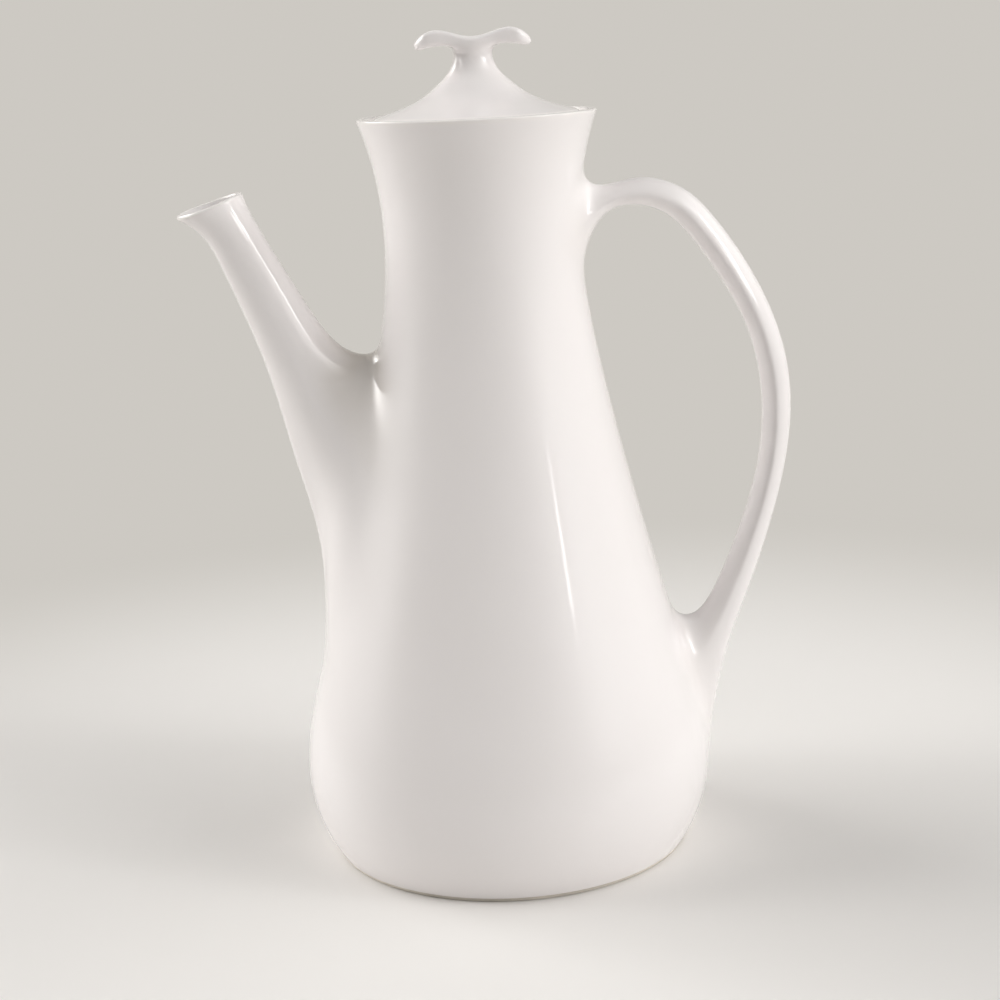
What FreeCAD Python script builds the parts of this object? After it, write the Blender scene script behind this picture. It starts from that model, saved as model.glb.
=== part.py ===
import FreeCAD, Part
import math
import os

# A glazed porcelain coffee pot in millimetres, +Z up. The origin is the centre of the foot's resting face.
# The spout points along -X and the handle along +X.

# Foot ring, left dry of glaze
FOOT_RADIUS = 55.0
FOOT_WIDTH = 6.0
FOOT_HEIGHT = 2.0
FOOT_ROUND = 0.7

# Body outline: each radius, and how far it stands above the one before
HEEL_OVERHANG = 0.9
BELLY_RADIUS = 62.9
BELLY_RISE = 25.0
FLANK_RADIUS = 57.2
FLANK_RISE = 29.3
WAIST_RADIUS = 44.9
WAIST_RISE = 45.0
SHOULDER_RADIUS = 34.6
SHOULDER_RISE = 45.0
NECK_RADIUS = 29.3
NECK_RISE = 44.5
RIM_FLARE = 6.1
RIM_RISE = 34.2

# Body shell
WALL = 3.8
NECK_WALL = 3.1
RIM_WALL = 2.8
FLOOR_THICKNESS = 5.0
FLOOR_CORNER = 12.0

# Lid seat inside the rim, and the gaps that let the lid drop in
SEAT_DEPTH = 3.6
LID_CLEARANCE = 1.0
FLANGE_CLEARANCE = 1.0

# Lid: the bell's outline above the seat, its wall and the collar under it
LID_EDGE = 2.6
BRIM_INSET = 2.2
BRIM_RISE = 4.8
BELL_FOOT_RADIUS = 21.2
BELL_FOOT_RISE = 6.3
BELL_MID_RADIUS = 14.4
BELL_MID_RISE = 9.6
KNOB_SEAT_RADIUS = 10.7
KNOB_SEAT_RISE = 12.6
LID_WALL = 3.2
FLANGE_DEPTH = 16.0
FLANGE_WALL = 2.8
FLANGE_ROUND = 1.0

# Knob: the waisted stem and the span of its two drooping wings
STEM_MID_RADIUS = 7.4
STEM_MID_RISE = 3.3
STEM_RADIUS = 5.7
STEM_RISE = 7.4
WING_SPAN = 34.0
WING_RIDGE = 0.6

# Wing rings from the middle outwards: share of the half span, top and underside above the knob's seat,
# and half the width across
WING_RINGS = [
    (0.00, 13.4, 9.6, 5.9),
    (0.32, 14.3, 10.4, 5.9),
    (0.62, 15.6, 11.6, 6.0),
    (0.84, 14.6, 10.9, 5.4),
    (0.95, 13.0, 10.1, 4.2),
    (1.00, 11.6, 10.2, 2.0),
]

# Spout rings from the mouth to the root inside the wall: reach from the pot's axis and drop below the rim
# of the underside and of the upper side, and half the width across
SPOUT_RINGS = [
    (91.0, 26.1, 70.5, 19.6, 8.3),
    (84.2, 30.8, 69.0, 24.0, 7.9),
    (79.0, 39.5, 64.4, 33.6, 7.9),
    (73.1, 54.4, 57.3, 46.8, 8.8),
    (66.0, 76.0, 48.8, 61.6, 10.6),
    (59.8, 103.0, 39.6, 69.2, 13.0),
    (54.4, 131.0, 29.0, 68.0, 16.0),
    (51.0, 164.0, 16.0, 60.0, 19.0),
    (38.0, 172.0, 4.0, 58.0, 19.0),
]
SPOUT_WALL = 2.6
HOLE_RADIUS = 10.5

# Handle rings from the neck to the belly: reach and drop below the rim of the inner and of the outer side,
# and half the width across
HANDLE_RINGS = [
    (16.0, 54.0, 16.0, 12.0, 10.4),
    (26.0, 50.0, 26.0, 15.5, 9.6),
    (31.2, 39.5, 32.0, 21.2, 7.8),
    (35.6, 32.4, 36.4, 22.5, 6.8),
    (45.5, 28.9, 47.0, 20.9, 6.4),
    (55.5, 32.5, 60.0, 24.6, 6.4),
    (72.3, 55.2, 80.4, 50.8, 6.6),
    (82.1, 89.9, 91.1, 90.3, 6.8),
    (76.5, 127.2, 84.0, 131.0, 6.6),
    (68.0, 146.0, 75.0, 153.6, 6.4),
    (61.4, 155.2, 69.4, 169.5, 6.6),
    (55.0, 156.2, 65.0, 185.5, 7.6),
    (44.0, 150.0, 58.0, 200.0, 9.6),
    (30.0, 146.0, 44.0, 206.0, 10.6),
]
HANDLE_RIDGE = 0.56
HANDLE_SHARPNESS = 0.35

# Points drawn round each ring
RING_POINTS = 24

# Heights and radii that follow from the sizes above
BELLY_HEIGHT = FOOT_HEIGHT + BELLY_RISE
FLANK_HEIGHT = BELLY_HEIGHT + FLANK_RISE
WAIST_HEIGHT = FLANK_HEIGHT + WAIST_RISE
SHOULDER_HEIGHT = WAIST_HEIGHT + SHOULDER_RISE
NECK_HEIGHT = SHOULDER_HEIGHT + NECK_RISE
RIM_HEIGHT = NECK_HEIGHT + RIM_RISE
LIP_HEIGHT = RIM_HEIGHT - RIM_WALL / 2
SEAT_HEIGHT = RIM_HEIGHT - SEAT_DEPTH
KNOB_SEAT_HEIGHT = SEAT_HEIGHT + KNOB_SEAT_RISE
FLOOR_HEIGHT = FOOT_HEIGHT + FLOOR_THICKNESS
FLOOR_RADIUS = BELLY_RADIUS - WALL - FLOOR_CORNER
HEEL_RADIUS = FOOT_RADIUS + HEEL_OVERHANG
RIM_RADIUS = NECK_RADIUS + RIM_FLARE
THROAT_RADIUS = NECK_RADIUS - NECK_WALL
FLANGE_RADIUS = THROAT_RADIUS - FLANGE_CLEARANCE
FLANGE_INSIDE = FLANGE_RADIUS - FLANGE_WALL


def at(radius, height):
    """A point of a turned outline, drawn in the XZ plane."""
    return FreeCAD.Vector(radius, 0, height)


def line(start, end):
    return Part.LineSegment(start, end).toShape()


def curve_through(points):
    curve = Part.BSplineCurve()
    curve.interpolate(Points=points)
    return curve


def turned(edges):
    """The solid that a closed outline sweeps in one turn about the pot's axis."""
    face = Part.Face(Part.Wire(edges))
    return face.revolve(FreeCAD.Vector(0, 0, 0), FreeCAD.Vector(0, 0, 1), 360)


def turned_ring(inside, outside, bottom, top, rounding):
    """A plain ring with both its lower edges rounded."""
    band = turned([
        line(at(inside, bottom), at(outside, bottom)),
        line(at(outside, bottom), at(outside, top)),
        line(at(outside, top), at(inside, top)),
        line(at(inside, top), at(inside, bottom)),
    ])
    lower = [edge for edge in band.Edges if edge.BoundBox.ZMax < (bottom + top) / 2]
    return band.makeFillet(rounding, lower)


def body_outline():
    """The outer outline of the body, from its heel to the lip."""
    return curve_through([
        at(HEEL_RADIUS, FOOT_HEIGHT),
        at(BELLY_RADIUS, BELLY_HEIGHT),
        at(FLANK_RADIUS, FLANK_HEIGHT),
        at(WAIST_RADIUS, WAIST_HEIGHT),
        at(SHOULDER_RADIUS, SHOULDER_HEIGHT),
        at(NECK_RADIUS, NECK_HEIGHT),
        at(RIM_RADIUS, LIP_HEIGHT),
    ])


def drawn_in(outline, height, inset):
    """The point that lies an inset inside a rising outline, square to it, from where it passes a height."""
    low = outline.FirstParameter
    high = outline.LastParameter
    while high - low > 1e-12:
        middle = (low + high) / 2
        if outline.value(middle).z < height:
            low = middle
        else:
            high = middle
    tangent = outline.tangent(low)[0]
    return outline.value(low) + at(-tangent.z, tangent.x) * inset


def inner_outline(outline):
    """The inner outline, from the floor's edge round its corner and up to the throat."""
    bend = math.sqrt(0.5) * FLOOR_CORNER
    points = [at(FLOOR_RADIUS, FLOOR_HEIGHT), at(FLOOR_RADIUS + bend, FLOOR_HEIGHT + FLOOR_CORNER - bend)]
    throat_foot = (SHOULDER_HEIGHT + NECK_HEIGHT) / 2
    for height in (BELLY_HEIGHT, FLANK_HEIGHT, WAIST_HEIGHT, SHOULDER_HEIGHT, throat_foot):
        points.append(drawn_in(outline, height, WALL))
    points.append(at(THROAT_RADIUS, NECK_HEIGHT))
    return curve_through(points)


def ring(inner, outer, half_width, ridge, sharpness):
    """Points round the line from inner to outer: ridge is where along it the ring is widest, and sharpness
    draws the two edges there towards a point, from 0 for an ellipse."""
    span = outer - inner
    middle = inner + span * ridge
    points = []
    for step in range(RING_POINTS):
        angle = 2 * math.pi * step / RING_POINTS
        along = math.cos(angle)
        reach = 1 - ridge if along > 0 else ridge
        depth = along * abs(along) ** sharpness * reach
        across = FreeCAD.Vector(0, half_width * math.sin(angle), 0)
        points.append(middle + span * depth + across)
    return points


def skinned(rings):
    """The solid under one smooth skin drawn over flat rings of points, closed flat at both ends."""
    around = []
    for points in rings:
        curve = Part.BSplineCurve()
        curve.interpolate(Points=points, PeriodicFlag=True, Parameters=list(range(RING_POINTS + 1)))
        around.append(curve)
    stations = [0.0]
    for before, after in zip(rings, rings[1:]):
        steps = [(end - start).Length for start, end in zip(before, after)]
        stations.append(stations[-1] + sum(steps) / RING_POINTS)
    lengthwise = []
    for track in zip(*[curve.getPoles() for curve in around]):
        curve = Part.BSplineCurve()
        curve.interpolate(Points=list(track), Parameters=stations)
        lengthwise.append(curve)
    surface = Part.BSplineSurface()
    surface.buildFromPolesMultsKnots(
        [curve.getPoles() for curve in lengthwise],
        around[0].getMultiplicities(), lengthwise[0].getMultiplicities(),
        around[0].getKnots(), lengthwise[0].getKnots(),
        True, False, around[0].Degree, lengthwise[0].Degree,
    )
    side = surface.toShape()
    ends = [Part.Face(Part.Wire([edge])) for edge in side.Edges if edge.isClosed()]
    shell = Part.makeShell([side] + ends)
    shell.sewShape()
    solid = Part.makeSolid(shell)
    if solid.Volume < 0:
        solid.reverse()
    return solid


def spout_skin(inset, widest):
    """The spout drawn in from its outside by an inset, with no ring larger than a widest radius."""
    rings = []
    for under_reach, under_drop, over_reach, over_drop, half_width in SPOUT_RINGS:
        under = at(-under_reach, RIM_HEIGHT - under_drop)
        over = at(-over_reach, RIM_HEIGHT - over_drop)
        middle = (under + over) / 2
        half = (over - under) / 2
        half = half * (min(half.Length - inset, widest) / half.Length)
        rings.append(ring(middle - half, middle + half, min(half_width - inset, widest), 0.5, 0))
    return skinned(rings)


def body_block(outline):
    """The body filled solid: what the spout and the handle are cut to."""
    return turned([
        line(at(0, FOOT_HEIGHT), at(HEEL_RADIUS, FOOT_HEIGHT)),
        outline.toShape(),
        line(at(RIM_RADIUS, LIP_HEIGHT), at(0, LIP_HEIGHT)),
        line(at(0, LIP_HEIGHT), at(0, FOOT_HEIGHT)),
    ])


def make_body(outline, seat_radius):
    """The shell with its floor, throat, lid seat and rolled lip, pierced by a round hole behind the spout."""
    lip_inside = at(RIM_RADIUS - RIM_WALL, LIP_HEIGHT)
    lip = Part.Arc(at(RIM_RADIUS, LIP_HEIGHT), at(RIM_RADIUS - RIM_WALL / 2, RIM_HEIGHT), lip_inside)
    shell = turned([
        line(at(0, FOOT_HEIGHT), at(HEEL_RADIUS, FOOT_HEIGHT)),
        outline.toShape(),
        lip.toShape(),
        line(lip_inside, at(seat_radius, SEAT_HEIGHT)),
        line(at(seat_radius, SEAT_HEIGHT), at(THROAT_RADIUS, SEAT_HEIGHT)),
        line(at(THROAT_RADIUS, SEAT_HEIGHT), at(THROAT_RADIUS, NECK_HEIGHT)),
        inner_outline(outline).toShape(),
        line(at(FLOOR_RADIUS, FLOOR_HEIGHT), at(0, FLOOR_HEIGHT)),
        line(at(0, FLOOR_HEIGHT), at(0, FOOT_HEIGHT)),
    ])
    return shell.cut(spout_skin(SPOUT_WALL, HOLE_RADIUS))


def make_foot_ring():
    return turned_ring(FOOT_RADIUS - FOOT_WIDTH, FOOT_RADIUS, 0, FOOT_HEIGHT, FOOT_ROUND)


def make_spout(block):
    outside = spout_skin(0, math.inf)
    hollow = spout_skin(SPOUT_WALL, math.inf)
    return outside.cut(hollow).cut(block)


def make_handle(block):
    rings = []
    for inner_reach, inner_drop, outer_reach, outer_drop, half_width in HANDLE_RINGS:
        inner = at(inner_reach, RIM_HEIGHT - inner_drop)
        outer = at(outer_reach, RIM_HEIGHT - outer_drop)
        rings.append(ring(inner, outer, half_width, HANDLE_RIDGE, HANDLE_SHARPNESS))
    return skinned(rings).cut(block)


def make_lid_cover(lid_radius):
    """The bell with its rounded brim, hollow underneath inside the collar."""
    edge = at(lid_radius, SEAT_HEIGHT + LID_EDGE)
    brim = at(lid_radius - BRIM_INSET, SEAT_HEIGHT + BRIM_RISE)
    knob_seat = at(KNOB_SEAT_RADIUS, KNOB_SEAT_HEIGHT)
    bell = curve_through([
        brim,
        at(BELL_FOOT_RADIUS, SEAT_HEIGHT + BELL_FOOT_RISE),
        at(BELL_MID_RADIUS, SEAT_HEIGHT + BELL_MID_RISE),
        knob_seat,
    ])
    brim_bulge = math.sqrt(0.5)
    brim_corner = at(
        lid_radius - BRIM_INSET * (1 - brim_bulge),
        SEAT_HEIGHT + LID_EDGE + (BRIM_RISE - LID_EDGE) * brim_bulge,
    )
    hollow_edge = at(FLANGE_INSIDE, SEAT_HEIGHT)
    hollow_top = KNOB_SEAT_HEIGHT - LID_WALL
    hollow = Part.Arc(hollow_edge, at(0, hollow_top), at(-FLANGE_INSIDE, SEAT_HEIGHT))
    hollow_half = hollow.toShape().split((hollow.FirstParameter + hollow.LastParameter) / 2).Edges[0]
    return turned([
        line(at(lid_radius, SEAT_HEIGHT), edge),
        Part.Arc(edge, brim_corner, brim).toShape(),
        bell.toShape(),
        line(knob_seat, at(0, KNOB_SEAT_HEIGHT)),
        line(at(0, KNOB_SEAT_HEIGHT), at(0, hollow_top)),
        hollow_half,
        line(hollow_edge, at(lid_radius, SEAT_HEIGHT)),
    ])


def make_lid_flange():
    return turned_ring(FLANGE_INSIDE, FLANGE_RADIUS, SEAT_HEIGHT - FLANGE_DEPTH, SEAT_HEIGHT, FLANGE_ROUND)


def make_knob():
    """The stem, carrying on the bell's curve, and the wings that it runs up into."""
    middle_top, middle_under, middle_half = WING_RINGS[0][1:]
    stem_top = KNOB_SEAT_HEIGHT + (middle_top + middle_under) / 2
    waist = curve_through([
        at(KNOB_SEAT_RADIUS, KNOB_SEAT_HEIGHT),
        at(STEM_MID_RADIUS, KNOB_SEAT_HEIGHT + STEM_MID_RISE),
        at(STEM_RADIUS, KNOB_SEAT_HEIGHT + STEM_RISE),
        at(middle_half, stem_top),
    ])
    stem = turned([
        line(at(0, KNOB_SEAT_HEIGHT), at(KNOB_SEAT_RADIUS, KNOB_SEAT_HEIGHT)),
        waist.toShape(),
        line(at(middle_half, stem_top), at(0, stem_top)),
        line(at(0, stem_top), at(0, KNOB_SEAT_HEIGHT)),
    ])
    left = [(-share, top, under, half) for share, top, under, half in reversed(WING_RINGS[1:])]
    rings = []
    for share, top, under, half_width in left + WING_RINGS:
        place = share * WING_SPAN / 2
        low = at(place, KNOB_SEAT_HEIGHT + under)
        high = at(place, KNOB_SEAT_HEIGHT + top)
        rings.append(ring(low, high, half_width, WING_RIDGE, 0))
    return stem.fuse(skinned(rings)).removeSplitter()


def main():
    os.makedirs("parts", exist_ok=True)
    outline = body_outline()
    block = body_block(outline)
    seat_radius = drawn_in(outline, SEAT_HEIGHT, 0).x - RIM_WALL
    pieces = {
        "body": make_body(outline, seat_radius),
        "foot_ring": make_foot_ring(),
        "spout": make_spout(block),
        "handle": make_handle(block),
        "lid_cover": make_lid_cover(seat_radius - LID_CLEARANCE),
        "lid_flange": make_lid_flange(),
        "knob": make_knob(),
    }
    for name, shape in pieces.items():
        shape.exportStep("parts/" + name + ".step")
        print(name, "solids:", len(shape.Solids), "valid:", shape.isValid(), "mm3:", round(shape.Volume))


main()
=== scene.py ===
"""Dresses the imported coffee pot: glazed body, spout, handle and winged lid, on a pale studio floor."""

import math

import bmesh
import bpy
import numpy as np
import openvdb
from bpy.props import FloatProperty, FloatVectorProperty, IntProperty, PointerProperty
from bpy.types import Operator, Panel, PropertyGroup
from mathutils import Matrix, Vector


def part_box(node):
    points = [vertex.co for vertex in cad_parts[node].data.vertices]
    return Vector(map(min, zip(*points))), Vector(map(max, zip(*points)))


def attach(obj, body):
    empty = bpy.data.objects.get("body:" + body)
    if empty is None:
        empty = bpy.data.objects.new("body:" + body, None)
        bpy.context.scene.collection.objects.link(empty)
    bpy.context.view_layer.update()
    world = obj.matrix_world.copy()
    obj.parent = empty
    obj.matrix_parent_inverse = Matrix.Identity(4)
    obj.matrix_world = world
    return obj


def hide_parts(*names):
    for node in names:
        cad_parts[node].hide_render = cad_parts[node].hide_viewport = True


bl_info = {
    "name": "Coffee pot maker",
    "version": (1, 0, 0),
    "blender": (4, 5, 0),
    "location": "3D View > Sidebar > Coffee pot",
    "description": "Makes a glazed porcelain coffee pot with its spout, handle and lid, and a studio stage",
    "category": "Object",
}

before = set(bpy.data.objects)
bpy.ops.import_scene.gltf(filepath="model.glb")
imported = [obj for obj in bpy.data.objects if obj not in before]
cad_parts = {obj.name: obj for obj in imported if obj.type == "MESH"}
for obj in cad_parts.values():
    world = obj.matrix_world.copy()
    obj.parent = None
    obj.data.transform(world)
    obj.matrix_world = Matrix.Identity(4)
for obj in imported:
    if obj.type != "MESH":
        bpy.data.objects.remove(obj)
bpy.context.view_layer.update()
MM = 0.001

# Heights and radii that the pieces share, taken from the solids
FOOT_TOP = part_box("foot_ring")[1].z
FOOT_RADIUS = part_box("foot_ring")[1].x
RIM_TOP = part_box("body")[1].z
LID_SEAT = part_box("lid_cover")[0].z
LID_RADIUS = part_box("lid_cover")[1].x
KNOB_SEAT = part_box("knob")[0].z
FLANGE_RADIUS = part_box("lid_flange")[1].x
FLANGE_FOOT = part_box("lid_flange")[0].z

# Spout rings from the mouth to the root, in millimetres: reach from the pot's axis and drop below the rim
# of the underside and of the upper side, half the width across, and how far the section draws to a keel
SPOUT_RINGS = [
    (91.0, 26.1, 70.5, 19.6, 9.4, 0.0),
    (84.2, 30.8, 69.0, 24.0, 8.3, 0.0),
    (79.0, 39.5, 64.4, 33.6, 7.9, 0.0),
    (73.1, 54.4, 57.3, 46.8, 8.8, 0.5),
    (66.0, 76.0, 48.8, 61.6, 10.6, 2.5),
    (59.8, 103.0, 39.6, 69.2, 13.0, 7.0),
    (54.4, 131.0, 29.0, 68.0, 16.0, 11.0),
    (51.0, 164.0, 16.0, 60.0, 18.0, 12.0),
    (38.0, 172.0, 4.0, 58.0, 17.0, 11.0),
    (24.0, 178.0, -8.0, 54.0, 15.0, 9.0),
]

# Handle rings from the neck to the belly, in millimetres: reach and drop below the rim of the inner and of
# the outer side, and half the width across
HANDLE_RINGS = [
    (16.0, 54.0, 16.0, 12.0, 10.4),
    (26.0, 50.0, 26.0, 15.5, 9.6),
    (31.2, 39.5, 32.0, 21.2, 7.8),
    (35.6, 32.4, 36.4, 22.5, 6.8),
    (45.5, 29.0, 47.0, 20.9, 6.4),
    (55.5, 32.5, 60.0, 24.6, 6.4),
    (63.6, 41.3, 69.8, 34.4, 6.5),
    (72.5, 55.3, 80.4, 50.8, 6.6),
    (78.4, 67.8, 87.3, 66.6, 6.7),
    (82.3, 90.0, 91.1, 90.3, 6.8),
    (80.8, 108.5, 89.0, 109.4, 6.7),
    (75.8, 126.2, 83.7, 129.4, 6.6),
    (67.6, 145.8, 75.4, 152.6, 6.4),
    (61.4, 155.2, 69.4, 169.3, 6.6),
    (55.0, 156.2, 65.0, 185.5, 7.6),
    (44.0, 150.0, 58.0, 200.0, 9.6),
    (30.0, 146.0, 44.0, 206.0, 10.6),
]

# Wing stations from the knob's middle to a tip: share of the half span, and the height of the top and of
# the underside above the knob's seat, in millimetres
WING_STATIONS = [
    (0.00, 13.1, 9.4),
    (0.30, 14.2, 10.3),
    (0.60, 15.4, 10.8),
    (0.80, 14.7, 10.3),
    (0.92, 13.4, 9.9),
    (1.00, 12.4, 9.8),
]

# The lid's bell above its seat and the knob's stem above the knob's seat: radius and height in millimetres
BELL_POINTS = [(21.2, 6.3), (14.4, 9.6)]
STEM_POINTS = [(10.7, 0.0), (7.4, 3.3), (5.7, 7.4), (5.9, 11.5)]

# The knob's rolled wing edges, and how far its stem reaches down into the lid and lies under its surface
WING_ROLL = 1.6 * MM
STEM_ROOT = 0.9 * MM
STEM_SINK = 0.05 * MM

# The spout's rings that the hole through the body's wall runs along
HOLE_RINGS = slice(4, 9)

# How finely the turned sides and the rings are read, and how finely a skin is searched for the body
BODY_SAMPLES = 3000
STEM_SAMPLES = 2000
RING_SAMPLES = 24
TRIES = 500
HALVINGS = 40

# Rows of a soft joint, how far it runs on over the body, and how deep its last row lies under the surface
JOINT_ROWS = 22
JOINT_TAIL = 0.8 * MM
JOINT_SINK = 0.012 * MM

# Points nearer than this are one point, and faces that meet at more than these angles have a sharp edge
CLOSE = 1e-6
SHARP_ANGLE = math.radians(38)
KNOB_SHARP_ANGLE = math.radians(60)

# Radius of the studio's floor, in metres
FLOOR_RADIUS = 6.0

# Soft lights of the studio: azimuth and elevation in degrees, how narrow the light is, and its strength
LOBES = (
    (-124, 25, 40, 9.6),
    (-93, 25, 40, 10.0),
    (64, 30, 16, 4.0),
    (104, 32, 16, 2.15),
    (0, 82, 6, 0.48),
)

# Panes of the window that shows in the glaze: azimuth, elevation and width in degrees, and strength
WINDOW = (
    (51.0, 14.72, 8.0, 0.11),
    (64.0, 17.0, 10.0, 0.17),
    (67.5, 23.5, 10.0, 0.17),
    (69.5, 28.5, 8.0, 0.08),
)


def length(name, description, default):
    """A size that the panel can change, in metres."""
    return FloatProperty(name=name, description=description, default=default, unit="LENGTH", precision=5)


def tint(name, description, default):
    """A colour that the panel can change."""
    return FloatVectorProperty(name=name, description=description, default=default, size=3, subtype="COLOR",
                               min=0.0, max=1.0)


def turn(name, description, degrees):
    """An angle that the panel can change."""
    return FloatProperty(name=name, description=description, default=math.radians(degrees), subtype="ANGLE")


def portion(name, description, default):
    """A share from 0 to 1 that the panel can change."""
    return FloatProperty(name=name, description=description, default=default, min=0.0, max=1.0,
                         subtype="FACTOR")


def face_count(name, description, default, least):
    """A number of faces that the panel can change."""
    return IntProperty(name=name, description=description, default=default, min=least)


def all_round(steps):
    """Angles spread evenly over a full turn."""
    return np.linspace(0.0, 2 * math.pi, steps, endpoint=False)


def ramp(values, start, run):
    """Rises from 0 at the start to 1 after the run."""
    return np.clip((values - start) / run, 0.0, 1.0)


def unit(vectors):
    """Vectors brought to a length of 1."""
    return vectors / np.linalg.norm(vectors, axis=-1, keepdims=True)


def run_up(steps):
    """How far along a line its points lie, from the lengths of the steps between them."""
    return np.concatenate([[0.0], np.cumsum(steps)])


class CoffeePotBody(PropertyGroup):
    """Sizes of the turned body and its foot ring."""
    heel_radius: length("Heel radius", "Radius where the body meets its foot", FOOT_RADIUS + 0.0009)
    belly_radius: length("Belly radius", "Largest radius of the body", 0.0629)
    belly_height: length("Belly height", "Height of the largest radius", 0.0270)
    flank_radius: length("Flank radius", "Radius where the straight flank begins", 0.0572)
    flank_height: length("Flank height", "Height where the straight flank begins", 0.0563)
    waist_radius: length("Waist radius", "Radius halfway up the flank", 0.0449)
    waist_height: length("Waist height", "Height of the waist radius", 0.1013)
    shoulder_radius: length("Shoulder radius", "Radius where the flank runs into the neck", 0.0346)
    shoulder_height: length("Shoulder height", "Height of the shoulder radius", 0.1463)
    neck_radius: length("Neck radius", "Smallest radius of the body", 0.0293)
    neck_height: length("Neck height", "Height of the smallest radius", 0.1908)
    rim_radius: length("Rim radius", "Radius of the flared rim", 0.03535)
    rim_wall: length("Rim wall", "Thickness of the rim", 0.0026)
    rim_round: length("Rim rounding", "Rounding of the rim's outer edge", 0.0006)
    glaze_line: length("Glaze line", "Height above the table where the glaze stops on the foot", 0.0014)
    wall: length("Wall", "Thickness of the thrown wall", 0.0038)
    floor: length("Floor", "Thickness of the floor", 0.0050)
    throat_radius: length("Throat radius", "Radius of the throat under the lid's seat", 0.0262)
    foot_width: length("Foot width", "Width of the dry foot ring", 0.0060)
    segments: face_count("Segments", "Faces round each turned piece", 192, 48)


class CoffeePotSpout(PropertyGroup):
    """Sizes of the spout's wall and its joint with the body."""
    wall: length("Wall", "Thickness of the spout's wall at the root", 0.0026)
    lip: length("Lip", "Thickness of the rolled lip at the mouth", 0.0017)
    mouth_lean: length("Mouth lean", "How far the cut of the mouth leans to the front", 0.0005)
    hole: length("Hole radius", "Radius of the hole through the body's wall", 0.0105)
    joint_top: length("Crotch joint", "Softness of the joint in the crotch above the spout", 0.0070)
    joint_side: length("Side joint", "Softness of the joint along the spout's sides", 0.0180)
    joint_flank: length("Flank joint", "Extra softness of the joint low on the spout's sides", 0.0080)
    joint_under: length("Lower joint", "Softness of the joint under the spout", 0.0090)
    # How far the painted shade of the crotch runs up the spout's top side
    pool_and_shade_reach: length("Pooled glaze", "How far the pooled glaze of the crotch runs up the spout", 0.0200)
    around: face_count("Around", "Faces round the spout", 112, 24)


class CoffeePotHandle(PropertyGroup):
    """Shape of the strap handle's section and its joints with the body."""
    ridge: portion("Ridge", "Where the ridge runs, from the inner edge", 0.43)
    sharpness: portion("Sharpness", "How far the section draws to its edges", 0.35)
    softness: portion("Softness", "How far the ridge is rounded over", 0.26)
    joint_top: length("Neck joint", "Softness of the joint on the neck, above and below the handle", 0.0050)
    joint_foot: length("Belly joint", "Softness of the joint on the belly, inside the loop", 0.0045)
    joint_tail: length("Tail joint", "Softness of the joint on the belly, under the handle's tail", 0.0105)
    joint_side: length("Side joint", "Softness of both joints along the handle's sides", 0.0115)
    around: face_count("Around", "Faces round the handle", 80, 24)


class CoffeePotLid(PropertyGroup):
    """Sizes of the bell-shaped lid, its flange and its winged knob."""
    edge: length("Edge", "Height of the lid's upright edge", 0.0018)
    brim_inset: length("Brim inset", "How far the rounded brim turns in", 0.0026)
    brim_rise: length("Brim rise", "Height of the brim above the seat", 0.0041)
    wall: length("Wall", "Thickness under the knob", 0.0032)
    flange_wall: length("Flange wall", "Thickness of the flange", 0.0028)
    wing_span: length("Wing span", "Distance between the knob's wing tips", 0.0342)
    wing_width: length("Wing width", "Width of the wings across", 0.0118)
    wing_corner: length("Wing corner", "Rounding of the wings seen from above", 0.0048)
    stem_joint: length("Stem joint", "Softness of the joint between stem and wings", 0.0042)
    cell: length("Cell", "Size of the faces that the knob is drawn with", 0.00042)


class CoffeePotGlaze(PropertyGroup):
    """Colours and gloss of the glaze and of the unglazed porcelain, with painted shade in the spout's crotch
    and, partly, in the foot ring's colour.
    """
    white: tint("Glaze", "Colour of the glazed porcelain", (0.905, 0.874, 0.870))
    # Dark colour of glaze gathered in a joint, used as painted shade in the spout's crotch and the joints;
    # noise also mottles the glaze with it at random
    pooled_and_shade: tint("Pooled glaze", "Colour where the glaze gathers in a joint", (0.640, 0.585, 0.505))
    thin: tint("Thin glaze", "Colour where the glaze runs thin over an edge", (0.930, 0.900, 0.870))
    gloss: portion("Roughness", "Roughness of the fired glaze", 0.040)
    # Colour of the unglazed foot ring, darker than dry porcelain: partly dirt and partly painted shade for
    # the gap under the heel
    bare_and_gap_shade: tint("Bare porcelain", "Colour of the dry foot ring", (0.660, 0.610, 0.540))


class CoffeePotStage(PropertyGroup):
    """The camera, the lamps, the floor and the backdrop."""
    camera_place: FloatVectorProperty(name="Camera place", description="Where the camera stands", size=3,
                                      default=(0.0, -0.6014, 0.2501), subtype="TRANSLATION", unit="LENGTH")
    yaw: turn("Yaw", "How far the camera turns to the right", 0.122)
    pitch: turn("Pitch", "How far the camera looks down", 13.288)
    roll: turn("Roll", "How far the camera leans", 2.900)
    lens: FloatProperty(name="Lens", description="Focal length in millimetres", default=72.41,
                        unit="CAMERA")
    floor: tint("Floor", "Colour of the floor round the pot", (0.85, 0.835, 0.815))
    backdrop: tint("Backdrop", "Colour behind the pot", (0.610, 0.585, 0.545))
    fade_start: length("Fade start", "How far from the pot the floor begins to turn into the backdrop", 0.17)
    fade_end: length("Fade end", "How far from the pot the floor is all backdrop", 0.42)
    light: tint("Light", "Colour of the studio's light", (1.0, 0.985, 0.965))
    fill: portion("Fill", "Strength of the light that comes from every side", 0.01)


def end_slope(stations, rows):
    """Slope at the first of four stations of the cubic that runs through all four rows."""
    first, second, third = stations[1:] - stations[0]
    step_one = (rows[1] - rows[0]) / first
    step_two = (rows[2] - rows[0]) / second
    step_three = (rows[3] - rows[0]) / third
    bend = (step_two - step_one) / (second - first)
    twist = ((step_three - step_one) / (third - first) - bend) / (third - second)
    return step_one - first * bend + first * second * twist


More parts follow.
